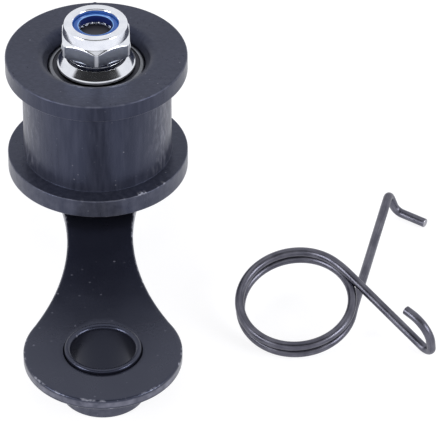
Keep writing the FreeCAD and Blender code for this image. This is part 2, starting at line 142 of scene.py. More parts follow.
def softLeast(a, b, blend):    # the smaller of two, with their crossing rounded over about one blend
    return -blend * np.logaddexp(-a / blend, -b / blend)


# Puts grids of points into one mesh: columns close on themselves, shared edges and poles are merged,
# faces are turned outwards, and the marks become attributes that the materials read
def makePiece(name, sheets, material, body, slot, *nodes):
    points = np.concatenate([sheet["points"].reshape(-1, 3) for sheet in sheets]) * mm
    quads = []
    first = 0
    for sheet in sheets:
        rows, columns = sheet["points"].shape[:2]
        index = first + np.arange(rows * columns).reshape(rows, columns)
        beside = np.roll(index, -1, axis=1)
        quads.append(np.stack([index[:-1], beside[:-1], beside[1:], index[1:]], axis=-1).reshape(-1, 4))
        first += rows * columns
    mesh = bpy.data.meshes.new(name)
    mesh.from_pydata(points, [], np.concatenate(quads))
    for mark in sorted({key for sheet in sheets for key in sheet} - {"points"}):
        plain = [sheet.get(mark, np.zeros(sheet["points"].shape[:2])) for sheet in sheets]
        isVector = plain[0].ndim == 3
        layer = mesh.attributes.new(mark, "FLOAT_VECTOR" if isVector else "FLOAT", "POINT")
        values = np.concatenate([part.reshape(-1) for part in plain]).astype(np.float32)
        layer.data.foreach_set("vector" if isVector else "value", values)
    shell = bmesh.new()
    shell.from_mesh(mesh)
    bmesh.ops.remove_doubles(shell, verts=shell.verts, dist=0.0005 * mm)
    bmesh.ops.recalc_face_normals(shell, faces=shell.faces)
    shell.to_mesh(mesh)
    shell.free()
    mesh.shade_smooth()
    mesh.set_sharp_from_angle(angle=math.radians(40))
    mesh.materials.append(material)
    piece = addObject(name, mesh)
    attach(piece, body)
    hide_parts(*nodes)
    print("piece", name, len(mesh.polygons), "faces on", body)


# Materials

def linear(hexColour):    # sRGB hex to linear red, green, blue and alpha
    shown = np.array([int(hexColour[i:i + 2], 16) for i in (1, 3, 5)]) / 255
    light = np.where(shown <= 0.04045, shown / 12.92, ((shown + 0.055) / 1.055) ** 2.4)
    return (*light.tolist(), 1.0)


def feed(tree, node, inputs):    # a socket among the inputs is linked, a plain value is set
    for key, source in inputs.items():
        if isinstance(source, bpy.types.NodeSocket):
            tree.links.new(source, node.inputs[key])
        else:
            node.inputs[key].default_value = source


def addNode(tree, kind, inputs=None, **settings):    # a shader node with its settings and what feeds it
    node = tree.nodes.new("ShaderNode" + kind)
    for key, setting in settings.items():
        setattr(node, key, setting)
    feed(tree, node, inputs or {})
    return node


def emptyTree(owner):    # the cleared node tree of a material or world
    owner.use_nodes = True
    owner.node_tree.nodes.clear()
    return owner.node_tree


def newMaterial(name):    # an empty material with its surface shader and the object's own coordinates
    material = bpy.data.materials.new(name)
    tree = emptyTree(material)
    shader = addNode(tree, "BsdfPrincipled")
    addNode(tree, "OutputMaterial", {"Surface": shader.outputs["BSDF"]})
    place = addNode(tree, "TexCoord").outputs["Object"]
    return material, tree, shader, place


def perMm(size):    # texture scale that makes one cell of a pattern this many millimetres wide
    return 1 / (size * mm)


# Dust: a round dot in each cell of a pattern, fading between two shares of the cell's width, and most of them
# faint, each by its own lot
def dustSpecks(tree, place, spacing, fade):
    cells = addNode(tree, "TexVoronoi", {"Vector": place, "Scale": perMm(spacing)})
    dot = addNode(tree, "MapRange", {
        "Value": cells.outputs["Distance"], "From Min": fade[0], "From Max": fade[1],
        "To Min": 1, "To Max": 0})
    lot = addNode(tree, "Math", {0: cells.outputs["Color"], 1: 3.0}, operation="POWER")
    specks = addNode(tree, "Math", {0: dot.outputs["Result"], 1: lot.outputs["Value"]}, operation="MULTIPLY")
    return specks.outputs["Value"]


# Colours laid one over the other, each as far as its own share says
def layered(tree, base, layers):
    colour = linear(base)
    for share, over in layers:
        colour = addNode(tree, "Mix", {0: share, 6: colour, 7: linear(over)}, data_type="RGBA").outputs[2]
    return colour


# Electrocoat on blanked and turned steel: a thin even blue-black skin, satin on the flats with a fine orange
# peel, thinner and paler on the sheared side, thinner and paler in broken patches along the edges, where the
# paleness is also a painted highlight on the rounding, with faint specks of dust
def electrocoat():
    look = {"skin": "#13141c", "lighter": "#9495a0", "dust": "#7a7b88", "shear": "#6b6b76", "gleam": "#cdd6ff",
            "ior": 1.66, "peel": 0.6, "peelDepth": 0.012, "shearHeight": 0.5, "patch": 9.0, "wear": 1.3,
            "speck": 1.9, "speckFade": (0.07, 0.15), "blotch": 1.6}
    material, tree, shader, place = newMaterial("electrocoatBlack")
    patches, wear, blotches, peel = (
        addNode(tree, "TexNoise", {"Vector": place, "Scale": perMm(look[key]), "Detail": fine}).outputs["Fac"]
        for key, fine in (("patch", 3), ("wear", 4), ("blotch", 4), ("peel", 2)))
    edge, side = (addNode(tree, "Attribute", attribute_name=name).outputs["Fac"] for name in ("edge", "side"))
    # pale edges: a thinner, worn coat and a painted highlight on the rounding, in broken patches
    bareAndGlint = addNode(tree, "MapRange", {"Value": wear, "From Min": 0.52, "From Max": 0.7})
    wornAndGlint = addNode(tree, "Math", {0: edge, 1: bareAndGlint.outputs["Result"]}, operation="MULTIPLY")
    blotched = addNode(tree, "MapRange", {"Value": blotches, "From Min": 0.15, "From Max": 0.8})
    sheared = addNode(tree, "Math", {0: side, 1: blotched.outputs["Result"]}, operation="MULTIPLY")
    specks = dustSpecks(tree, place, look["speck"], look["speckFade"])
    colour = layered(tree, look["skin"], (
        (sheared.outputs["Value"], look["shear"]), (specks, look["dust"]),
        (wornAndGlint.outputs["Value"], look["lighter"])))
    rough = addNode(tree, "MapRange", {
        "Value": patches, "From Min": 0.3, "From Max": 0.7, "To Min": 0.25, "To Max": 0.34})
    height = addNode(tree, "Math", {
        0: sheared.outputs["Value"], 1: look["shearHeight"], 2: peel}, operation="MULTIPLY_ADD")
    bump = addNode(tree, "Bump", {"Height": height.outputs["Value"], "Distance": look["peelDepth"] * mm})
    feed(tree, shader, {
        "Base Color": colour, "Roughness": rough.outputs["Result"], "Normal": bump.outputs["Normal"],
        "Specular Tint": linear(look["gleam"]), "IOR": look["ior"]})
    return material


# Moulded polyurethane: blue-black, satin from the mould's skin, faint upright drag marks from demoulding,
# paler along the edges as rubbed wear and painted highlight, a mottled painted sheen on the groove's left and
# right sides, and a few pale specks
def mouldedPolymer():
    look = {"body": "#262833", "dragged": "#343642", "rubbedAndSheen": "#7c7d88", "flash": "#868792",
            "speck": "#8a8b96", "gleam": "#bbc8fc", "drag": 0.9, "dragSquash": 0.12, "dragHeight": 1.2,
            "grain": 0.4, "grainDepth": 0.025, "patch": 7.0, "wear": 1.6, "mottle": 0.8, "mottleSquash": 0.35,
            "dust": 1.7, "dustFade": (0.05, 0.12)}
    material, tree, shader, place = newMaterial("mouldedPolymer")
    tall, short = (
        addNode(tree, "Mapping", {"Vector": place, "Scale": (1, 1, look[key])}).outputs["Vector"]
        for key in ("dragSquash", "mottleSquash"))
    drag, patches, grain, wear, mottle = (
        addNode(tree, "TexNoise", {"Vector": spot, "Scale": perMm(look[key]), "Detail": fine}).outputs["Fac"]
        for spot, key, fine in ((tall, "drag", 4), (place, "patch", 3), (place, "grain", 3),
                                (place, "wear", 3), (short, "mottle", 4)))
    edge, bloom, flash = (
        addNode(tree, "Attribute", attribute_name=name).outputs["Fac"] for name in ("edge", "bloom", "flash"))
    # pale edges: rubbed wear and painted highlight together
    lighter = addNode(tree, "MapRange", {"Value": wear, "From Min": 0.2, "From Max": 0.7})
    rubbedAndSheen = addNode(tree, "Math", {0: edge, 1: lighter.outputs["Result"]}, operation="MULTIPLY")
    specks = dustSpecks(tree, place, look["dust"], look["dustFade"])
    marks = addNode(tree, "MapRange", {"Value": drag, "From Min": 0.4, "From Max": 0.75})
    # painted sheen: mottled paler patches on the groove's sides
    mottled = addNode(tree, "MapRange", {"Value": mottle, "From Min": 0.48, "From Max": 0.72, "To Max": 0.55})
    grooveSheenShare = addNode(tree, "Math", {0: bloom, 1: mottled.outputs["Result"]}, operation="MULTIPLY")
    colour = layered(tree, look["body"], (
        (marks.outputs["Result"], look["dragged"]), (specks, look["speck"]),
        (rubbedAndSheen.outputs["Value"], look["rubbedAndSheen"]), (grooveSheenShare.outputs["Value"], look["rubbedAndSheen"]),
        (flash, look["flash"])))
    uneven = addNode(tree, "Math", {0: drag, 1: patches}, operation="ADD")
    rough = addNode(tree, "MapRange", {
        "Value": uneven.outputs["Value"], "From Min": 0.7, "From Max": 1.3, "To Min": 0.27, "To Max": 0.4})
    height = addNode(tree, "Math", {0: drag, 1: look["dragHeight"], 2: grain}, operation="MULTIPLY_ADD")
    bump = addNode(tree, "Bump", {"Height": height.outputs["Value"], "Distance": look["grainDepth"] * mm})
    feed(tree, shader, {
        "Base Color": colour, "Roughness": rough.outputs["Result"], "Normal": bump.outputs["Normal"],
        "Specular Tint": linear(look["gleam"])})
    return material


# Bright zinc plate on pressed and turned steel: a cool silver mirror, slightly hazed, rougher on the pressed
# flats and darkened there as painted shade, rougher and so paler on turned corners and the collar's rim, and
# dull grey on the bolt's sawn end
def brightZinc():
    look = {"plate": "#f0f2f7", "hazy": "#cfd3de", "pressed": "#aeb3bd", "sawn": "#55555b", "patch": 2.4,
            "haze": 0.3, "hazeDepth": 0.004, "flatRough": 0.2, "stripeRough": 0.45, "sawnRough": 0.4}
    material, tree, shader, place = newMaterial("brightZinc")
    patches, haze = (
        addNode(tree, "TexNoise", {"Vector": place, "Scale": perMm(look[key]), "Detail": fine}).outputs["Fac"]
        for key, fine in (("patch", 5), ("haze", 3)))
    stripe, flat, sawn = (
        addNode(tree, "Attribute", attribute_name=name).outputs["Fac"] for name in ("stripe", "flat", "sawn"))
    # the pressed flats are darkened: painted shade
    colour = layered(tree, look["plate"], (
        (patches, look["hazy"]), (flat, look["pressed"]), (sawn, look["sawn"])))
    rough = addNode(tree, "MapRange", {
        "Value": patches, "From Min": 0.3, "From Max": 0.7, "To Min": 0.07, "To Max": 0.16}).outputs["Result"]
    for share, added in ((flat, "flatRough"), (stripe, "stripeRough"), (sawn, "sawnRough")):
        rough = addNode(tree, "Math", {
            0: share, 1: look[added], 2: rough}, operation="MULTIPLY_ADD").outputs["Value"]
    bump = addNode(tree, "Bump", {"Height": haze, "Distance": look["hazeDepth"] * mm})
    feed(tree, shader, {
        "Base Color": colour, "Roughness": rough, "Normal": bump.outputs["Normal"], "Metallic": 1.0})
    return material


# Cast nylon ring: clear strong blue with a soft waxy shine, a painted glow paler on its thin upper edge where
# light would pass through, and painted shade in deep navy down the bore
def blueNylon():
    look = {"body": "#2f69c6", "pale": "#7fb2f0", "bore": "#16245f", "shine": 0.32, "grain": 0.5,
            "grainDepth": 0.01}
    material, tree, shader, place = newMaterial("blueNylon")
    edge, wall = (addNode(tree, "Attribute", attribute_name=name).outputs["Fac"] for name in ("edge", "wall"))
    grain = addNode(tree, "TexNoise", {"Vector": place, "Scale": perMm(look["grain"]), "Detail": 3})
    # painted glow on the upper inner edge, painted shade down the bore
    colour = layered(tree, look["body"], ((wall, look["bore"]), (edge, look["pale"])))
    bump = addNode(tree, "Bump", {"Height": grain.outputs["Fac"], "Distance": look["grainDepth"] * mm})
    feed(tree, shader, {"Base Color": colour, "Roughness": look["shine"], "Normal": bump.outputs["Normal"]})
    return material


# Ground bearing steel, and shields pressed from sheet: a grey mirror with fine cloudy marks, darkened by
# painted shade to mid grey on the rings and to near-black on the shields and cages, deep in the roller's
# recess
def groundSteel(name, look):
    material, tree, shader, place = newMaterial(name)
    clouds = addNode(tree, "TexNoise", {"Vector": place, "Scale": perMm(look["cloud"]), "Detail": 4})
    rough = addNode(tree, "MapRange", {
        "Value": clouds.outputs["Fac"], "From Min": 0.3, "From Max": 0.7,
        "To Min": look["smooth"], "To Max": look["rough"]})
    colour = layered(tree, look["shade"], ((clouds.outputs["Fac"], look["mark"]),))
    feed(tree, shader, {"Base Color": colour, "Roughness": rough.outputs["Result"], "Metallic": 1.0})
    return material


# Oil-tempered spring wire: dark grey-black scale with fine draw lines along the wire and a film of oil, bare
# bright grey where the wire was sheared off
def oiledWire():
    look = {"scale": "#50505b", "lighter": "#6e6e79", "cutFace": "#9c9ca3", "line": 0.16, "lineSquash": 0.03,
            "lineDepth": 0.008, "patch": 2.5}
    material, tree, shader, place = newMaterial("oiledSpringWire")
    straight = addNode(tree, "Attribute", attribute_name="straightWire").outputs["Vector"]
    drawn = addNode(tree, "Mapping", {"Vector": straight, "Scale": (look["lineSquash"], 1, 1)})
    lines, patches = (
        addNode(tree, "TexNoise", {"Vector": spot, "Scale": perMm(look[key]), "Detail": fine}).outputs["Fac"]
        for spot, key, fine in ((drawn.outputs["Vector"], "line", 3), (straight, "patch", 4)))
    cut = addNode(tree, "Attribute", attribute_name="cut")
    mixed = addNode(tree, "Math", {0: lines, 1: patches}, operation="MULTIPLY")
    shade = addNode(tree, "MapRange", {"Value": mixed.outputs["Value"], "From Min": 0.15, "From Max": 0.4})
    colour = layered(tree, look["scale"], (
        (shade.outputs["Result"], look["lighter"]), (cut.outputs["Fac"], look["cutFace"])))
    rough = addNode(tree, "MapRange", {
        "Value": patches, "From Min": 0.3, "From Max": 0.7, "To Min": 0.29, "To Max": 0.41})
    bump = addNode(tree, "Bump", {"Height": lines, "Distance": look["lineDepth"] * mm})
    feed(tree, shader, {
        "Base Color": colour, "Roughness": rough.outputs["Result"], "Normal": bump.outputs["Normal"],
        "Metallic": 1.0})
    return material


coat = electrocoat()
polymer = mouldedPolymer()
zinc = brightZinc()
nylon = blueNylon()
# painted shade: the rings, balls, shields and cages sit deep in the roller's recess and are darkened
ringSteel = groundSteel("shadedBearingSteel", {
    "shade": "#85878e", "mark": "#55575d", "cloud": 0.3, "smooth": 0.16, "rough": 0.28})
shieldSteel = groundSteel("shadedShieldSteel", {
    "shade": "#3e3f46", "mark": "#2c2d33", "cloud": 0.3, "smooth": 0.3, "rough": 0.42})
springSteel = oiledWire()
print("materials made")


# Arm plate

armPlate = {"flankRadius": 58.6, "edgeRadius": 0.4, "eyeHole": 7.3, "axleHole": 4.2, "holeEdge": 0.25}


# Outline of the arm: eye arc, hollow flank, end arc and the other flank, each touching the next. An inset
# makes the eye and end arcs smaller and the flanks' arcs larger round the same centres.
def armOutline(inset, counts=(150, 70, 90)):
    eyeRadius = plateHigh[0]
    endRadius = plateHigh[1] - axle[1]
    flankRadius = armPlate["flankRadius"]
    toEye, toEnd = eyeRadius + flankRadius, endRadius + flankRadius
    flankAlong = (axle[1] ** 2 + toEye ** 2 - toEnd ** 2) / (2 * axle[1])
    flankAside = math.sqrt(toEye ** 2 - flankAlong ** 2)
    low = math.atan2(flankAlong, flankAside)
    high = math.atan2(flankAlong - axle[1], flankAside)
    arcs = (
        (0, 0, eyeRadius - inset, np.pi - low, 2 * np.pi + low, counts[0]),
        (flankAside, flankAlong, flankRadius + inset, np.pi + low, np.pi + high, counts[1]),
        (0, axle[1], endRadius - inset, high, np.pi - high, counts[2]),
        (-flankAside, flankAlong, flankRadius + inset, -high, -low, counts[1]))
    runs = []
    for x, y, radius, start, stop, count in arcs:
        turn = np.linspace(start, stop, count, endpoint=False)
        runs.append(np.stack([x + radius * np.cos(turn), y + radius * np.sin(turn)], axis=1))
    return runs


def level(points, height):    # points in plan put at a height
    return np.concatenate([points, np.full((*points.shape[:-1], 1), height)], axis=-1)


# Half of the plate round one hole: a flat ring above and below between the loop of the outline and the hole,
# ruled from each point of the loop straight towards the hole's centre, and the hole's wall with eased edges
def plateHalf(loop, centre, hole):
    ease, low, high = armPlate["holeEdge"], plateLow[2], plateHigh[2]
    towards = unit(loop - centre)
    brink = centre + towards * (hole + ease)
    share = np.linspace(0, 1, 12)[:, None, None]
    flat = loop * (1 - share) + brink * share
    bend = np.linspace(0, np.pi / 2, 6)
    wallRadius = hole + ease * (1 - np.concatenate([np.sin(bend), np.sin(bend[::-1])]))
    wallHeight = np.concatenate([high - ease * (1 - np.cos(bend)), low + ease * (1 - np.cos(bend[::-1]))])
    wall = centre + towards * wallRadius[:, None, None]
    wall = np.concatenate([wall, np.broadcast_to(wallHeight[:, None, None], (*wall.shape[:2], 1))], axis=-1)
    return [{"points": level(flat, high)}, {"points": level(flat, low)}, {"points": wall}]


# The blanked rim: a section of two rounded edges and a straight side, carried round the outline
def makeArmPlate():
    edge, low, high = armPlate["edgeRadius"], plateLow[2], plateHigh[2]
    bend = np.linspace(0, np.pi / 2, 7)
    straight = np.linspace(high - edge, low + edge, 6)[1:-1]
    isStraight = np.ones(len(straight))
    drop = edge * (1 - np.cos(bend))
    inset = edge * (1 - np.concatenate([np.sin(bend), isStraight, np.sin(bend[::-1])]))
    height = np.concatenate([high - drop, straight, low + drop[::-1]])
    rim = np.stack([level(np.concatenate(armOutline(step)), z) for step, z in zip(inset, height)])
    # the edge mark peaks halfway round each rounded edge: worn coat and painted highlight together
    rounding = np.concatenate([np.sin(2 * bend), 0 * isStraight, np.sin(2 * bend)])
    side = np.concatenate([0 * bend, isStraight, 0 * bend])
    edgeMark, sideMark = (np.tile(mark[:, None], rim.shape[1]) for mark in (rounding, side))
    sheets = [{"points": rim, "edge": edgeMark, "side": sideMark}]
    eye, right, end, left = armOutline(edge)
    half = len(right) // 2
    cut = np.linspace(right[half], left[half], 25)[1:-1]
    eyeLoop = np.concatenate([eye, right[:half + 1], cut, left[half:]])
    endLoop = np.concatenate([right[half:], end, left[:half + 1], cut[::-1]])
    sheets += plateHalf(eyeLoop, pivot[:2], armPlate["eyeHole"])
    sheets += plateHalf(endLoop, axle[:2], armPlate["axleHole"])
    makePiece("armPlate", sheets, coat, "arm", "black_coat", "arm_plate")


# Pivot bush: a boss below the arm and a rounded rim above it, turned round the bore
pivotBush = {"bore": 6.0, "spigot": 7.2, "chamfer": 0.4, "outerLip": 0.4, "innerLip": 0.7, "corner": 0.08,
             "wear": 0.3, "bossMarks": 0.45, "sides": 192}


def makePivotBush():
    low, high = boxOf("pivot_bush")
    bore, spigot, corner, chamfer, wear = take(pivotBush, "bore spigot corner chamfer wear")
    boss, under = high[0], plateLow[2]
    # the boss's chamfer edges get the pale edge mark: worn coat and painted highlight
    profile, wornAndGlint = roundedOutline([
        (bore, low[2], corner), (boss - chamfer, low[2], corner, wear),
        (boss, low[2] + chamfer, corner, wear), (boss, under, corner), (spigot, under, corner),
        (spigot, high[2], pivotBush["outerLip"]), (bore, high[2], pivotBush["innerLip"])])
    isBoss = (profile[:, :1] > spigot + corner) * (profile[:, 1:] < under - corner)
    sheet = turnedProfile(profile, pivot, pivotBush["sides"], edge=wornAndGlint[:, None],
                          side=pivotBush["bossMarks"] * isBoss)
    makePiece("pivotBush", [sheet], coat, "arm", "black_coat", "pivot_bush")


# Roller: two flanges and a wide groove, turned in section. Crumbs of moulding flash stand on the lower
# flange's upper edge, and a gate nub on the upper edge at the back: each is a bell curve round its own angle,
# which lifts the points near that edge. A crumb also leans inwards.
roller = {"grooveDepth": 3.15, "flange": 3.5, "lowFlange": 3.8, "edge": 0.2, "topEdge": 0.32,
          "grooveCorner": 0.1, "seat": 9.52, "flare": 1.0, "mouthEdge": 1.8, "recess": 2.2, "bearing": 6.0,
          "ledge": 1.0, "corner": 0.1, "footWearAndGlint": 0.7, "lipWearAndGlint": 0.5, "underWearAndGlint": 0.35, "topWearAndGlint": 0.4,
          "sideSheen": 0.17, "grooveSheenAt": (-160, -28), "grooveSheenWidth": 15, "reach": 0.3, "crumbLean": 0.3,
          "paleCrumb": 0.15, "slack": 0.002, "nubAt": 90, "nubHeight": 0.22, "nubWidth": 0.9, "sides": 540}
flashCrumbs = (    # angle in degrees, height in millimetres, width in degrees
    (-61.8, 0.5, 1.0), (-63.9, 0.32, 0.6), (-59.2, 0.25, 0.6), (-74.0, 0.05, 0.5), (-49.0, 0.06, 0.6),
    (-43.8, 0.2, 0.8), (-101.0, 0.04, 0.6))


def bell(angle, centre, width):    # 1 at the centre, falling to 0 over about two widths
    return np.exp(-((angle - centre) / width) ** 2)


def makeRoller():
    radius = (rollerHigh[0] - rollerLow[0]) / 2
    low, high = rollerLow[2], rollerHigh[2]
    lowTop, highFoot = low + roller["lowFlange"], high - roller["flange"]
    groove, grooveCorner = radius - roller["grooveDepth"], roller["grooveCorner"]
    seat, recess, edge, corner, mouthEdge = take(roller, "seat recess edge corner mouthEdge")
    mouth, hub, ledge = seat + roller["flare"], seat - roller["ledge"], recess + roller["bearing"]
    # the corners' marks make the edges paler: rubbed wear and painted highlight
    profile, wornAndGlint = roundedOutline([
        (mouth, low, mouthEdge), (radius, low, edge, roller["footWearAndGlint"]),
        (radius, lowTop, edge, roller["lipWearAndGlint"]), (groove, lowTop, grooveCorner),
        (groove, highFoot, grooveCorner), (radius, highFoot, edge, roller["underWearAndGlint"]),
        (radius, high, roller["topEdge"], roller["topWearAndGlint"]), (mouth, high, mouthEdge),
        (seat, high - recess, corner), (seat, high - ledge, corner), (hub, high - ledge, corner),
        (hub, low + ledge, corner), (seat, low + ledge, corner), (seat, low + recess, corner)])
    turns = fullTurn(roller["sides"])
    r, z = profile[:, :1], profile[:, 1:]
    angle = np.degrees((turns + np.pi) % (2 * np.pi) - np.pi)
    flash = sum(height * bell(angle, at, width) for at, height, width in flashCrumbs)
    nub = roller["nubHeight"] * bell(angle, roller["nubAt"], roller["nubWidth"])
    nearLow = bell(np.hypot(r - radius, z - lowTop), 0, roller["reach"])
    nearTop = bell(np.hypot(r - radius, z - high), 0, roller["reach"])
    crumb = nearLow * flash
    # painted sheen: the lower flange's side is a little paler all round
    rubbedAndSheen = roller["sideSheen"] * (r > radius - edge / 2) * (z < lowTop)
    isGroove = (r < groove + corner) * (z > lowTop + corner) * (z < highFoot - corner)
    # painted sheen: mottled paler patches on the groove to the left and right of its front
    bloom = isGroove * sum(bell(angle, at, roller["grooveSheenWidth"]) for at in roller["grooveSheenAt"])
    # a crumb is pale from the rounded edge up, so that no streak runs down the flange's side
    isLip = z > lowTop - edge - roller["slack"]
    pale = np.clip(crumb / roller["paleCrumb"], 0, 1) * isLip
    sheet = turnedSheet(r - roller["crumbLean"] * crumb, z + crumb + nearTop * nub, axle, turns,
                        edge=np.maximum(wornAndGlint[:, None], rubbedAndSheen), bloom=bloom, flash=pale)
    makePiece("roller", [sheet], polymer, "roller", "roller_polymer", "roller")


# Lock nut: a chamfered hexagon under a rounded crown; its radius is the smaller of a turned profile and a
# hexagon. It stands on a narrow neck, its foot is turned a little beyond the flats, and the bore carries a
# thread that rises one pitch each turn.
lockNut = {"acrossFlats": 13.0, "cornerTurn": 30, "cornerCut": 0.25, "cornerSoft": 0.05,
           "cornerFade": (-0.02, 0.1), "neck": 5.95, "footRise": 0.9, "footRadius": 6.66, "footHeight": 0.22,
           "chamfer": 0.2, "hexHeight": 3.75, "crownBand": 2.3, "crownInset": 0.1, "crownDraft": 0.3,
           "crownRound": 0.5, "lipRadius": 4.4, "lip": 0.85, "lipRound": 0.45, "seat": 4.92,
           "seatHeight": 1.5, "edge": 0.05, "chamferEdge": 0.1, "hexEdge": 0.15, "crownEdge": 0.2,
           "threadBore": 3.62, "pitch": 1.25, "threadDepth": 0.35, "nicks": 19, "nickDepth": 0.3,
           "boreRows": 45, "sides": 360}


def makeLockNut():
    low, high = boxOf("lock_nut")
    base, top, half = low[2], high[2], lockNut["acrossFlats"] / 2
    corner = lockNut["acrossFlats"] / math.sqrt(3) - lockNut["cornerCut"]
    crownFoot = half - lockNut["crownInset"]
    crown = crownFoot - lockNut["crownDraft"]
    rise, hexTop, pocket = base + lockNut["footRise"], base + lockNut["hexHeight"], top - lockNut["lip"]
    bore, seatBase = lockNut["threadBore"], pocket - lockNut["seatHeight"]
    lip, seat, neck, chamfer, edge = take(lockNut, "lipRadius seat neck chamfer edge")
    shares = np.linspace(0.01, 0.99, 9)
    profile = roundedOutline([
        (bore, base, edge), (neck, base, edge), (neck, rise, edge), (half - chamfer / 4, rise, edge),
        (corner, rise + chamfer, lockNut["chamferEdge"]), (corner, hexTop, lockNut["hexEdge"]),
        (crownFoot, top - lockNut["crownBand"], lockNut["crownEdge"]), (crown, top, lockNut["crownRound"]),
        (lip, top, lockNut["lipRound"]), (lip, pocket, edge), (seat, pocket, edge), (seat, seatBase, edge),
        (bore, seatBase, edge)], arcSteps=5, sideShares=shares)[0]
    # the bore's side, which closes the profile, gets rows enough for the thread
    rows = np.linspace(seatBase, base, lockNut["boreRows"])
    profile = np.concatenate([profile[:-len(shares) - 1], np.stack([np.full(len(rows), bore), rows], axis=1)])
    r, z = profile[:, :1], profile[:, 1:]
    turns = fullTurn(lockNut["sides"])
    flats = hexRadius(turns, lockNut["acrossFlats"], math.radians(lockNut["cornerTurn"]))
    isOuter = r > half - chamfer
    isFoot = (z < rise + lockNut["footHeight"]) * isOuter
    radius = softLeast(r, flats, lockNut["cornerSoft"])
    radius = np.where(isFoot, np.maximum(radius, np.minimum(r, lockNut["footRadius"])), radius)
    isBore = (np.arange(len(profile)) >= len(profile) - len(rows))[:, None] * (z < seatBase)
    uneven = 1 - lockNut["nickDepth"] + lockNut["nickDepth"] * np.sin(lockNut["nicks"] * turns)
    wave = threadWave(z - base, lockNut["pitch"], turns)
    radius = radius + isBore * lockNut["threadDepth"] * wave * uneven
    # the turned corners between the flats, and the chamfer under them
    turnedPart = eased(*lockNut["cornerFade"], flats - r)
    isHex = (z < hexTop) * isOuter
    sheet = turnedSheet(radius, z, axle, turns, stripe=turnedPart * isHex,
                        flat=(1 - turnedPart) * isHex * (1 - isFoot))
    makePiece("lockNut", [sheet], zinc, "arm", "zinc_plate", "lock_nut")


# Nylon ring: it bulges up inside the nut's lip
nutInsert = {"bore": 3.3, "radius": 4.9, "lipRadius": 4.38, "bulge": 0.4, "edge": 0.18, "edgeGlow": 1.0,
             "corner": 0.05, "boreCorner": 0.1, "deepWall": (0.05, 0.25), "sides": 160}


def makeNutInsert():
    low, high = boxOf("nut_insert")
    bore, radius, corner = take(nutInsert, "bore radius corner")
    shoulder = high[2] - nutInsert["bulge"]
    profile, wornAndGlint = roundedOutline([
        (bore, low[2], nutInsert["boreCorner"]), (radius, low[2], corner), (radius, shoulder, corner),
        (nutInsert["lipRadius"], shoulder, corner),
        (bore, high[2], nutInsert["edge"], nutInsert["edgeGlow"])])
    # painted shade: the bore's wall is marked for the deep navy
    wall = 1 - eased(*nutInsert["deepWall"], profile[:, :1] - bore)
    sheet = turnedProfile(profile, axle, nutInsert["sides"], edge=wornAndGlint[:, None], wall=wall)
    makePiece("nutInsert", [sheet], nylon, "arm", "blue_nylon", "nut_insert")


# Tapered collar under the nut: a thin rim with a bevel that shines, then a cone, then a neck up to the nut
upperCollar = {"bore": 4.05, "foot": 5.4275, "step": 0.1, "rimInset": 0.3, "rim": 0.6, "bevelRise": 0.15,
               "bevelIn": 0.26, "neck": 5.95, "neckHeight": 0.96, "edge": 0.03, "corner": 0.05,
               "coneCorner": 0.02, "sides": 256}


def makeUpperCollar():
    low, high = boxOf("upper_collar")
    base, top, wide = low[2], high[2], high[0] - upperCollar["rimInset"]
    bore, foot, neck, corner, edge = take(upperCollar, "bore foot neck corner edge")
    under = base + upperCollar["step"]
    rim = under + upperCollar["rim"]
    profile = roundedOutline([
        (bore, base, corner), (foot, base, corner), (foot, under, corner), (wide, under, edge),
        (wide, rim - upperCollar["bevelRise"], edge), (wide - upperCollar["bevelIn"], rim, edge),
        (neck, top - upperCollar["neckHeight"], upperCollar["coneCorner"]), (neck, top, corner),
        (bore, top, corner)], sideShares=(0.02, 0.2, 0.4, 0.6, 0.8, 0.98))[0]
    rimBand = (profile[:, :1] > wide - edge) * 1.0
    sheet = turnedProfile(profile, axle, upperCollar["sides"], stripe=rimBand)
    makePiece("upperCollar", [sheet], zinc, "arm", "zinc_plate", "upper_collar")


# Axle bolt: head, flange, shank and threaded end in one turned profile; the head's radius is held inside a
# hexagon, and the end's radius carries a thread that rises one pitch each turn
axleBolt = {"acrossFlats": 13.0, "cornerTurn": 30, "cornerCut": 0.25, "headHeight": 7.9, "chamfer": 0.5,
            "flangeRadius": 8.5, "flangeRim": 1.1, "flangeEase": 0.1, "flangeHeight": 2.6, "shank": 4.0,
            "thread": 3.6, "pitch": 1.25, "threadDepth": 0.35, "threadZone": 0.4, "endChamfer": 0.6,
            "sawnZone": 0.01, "sides": 216}


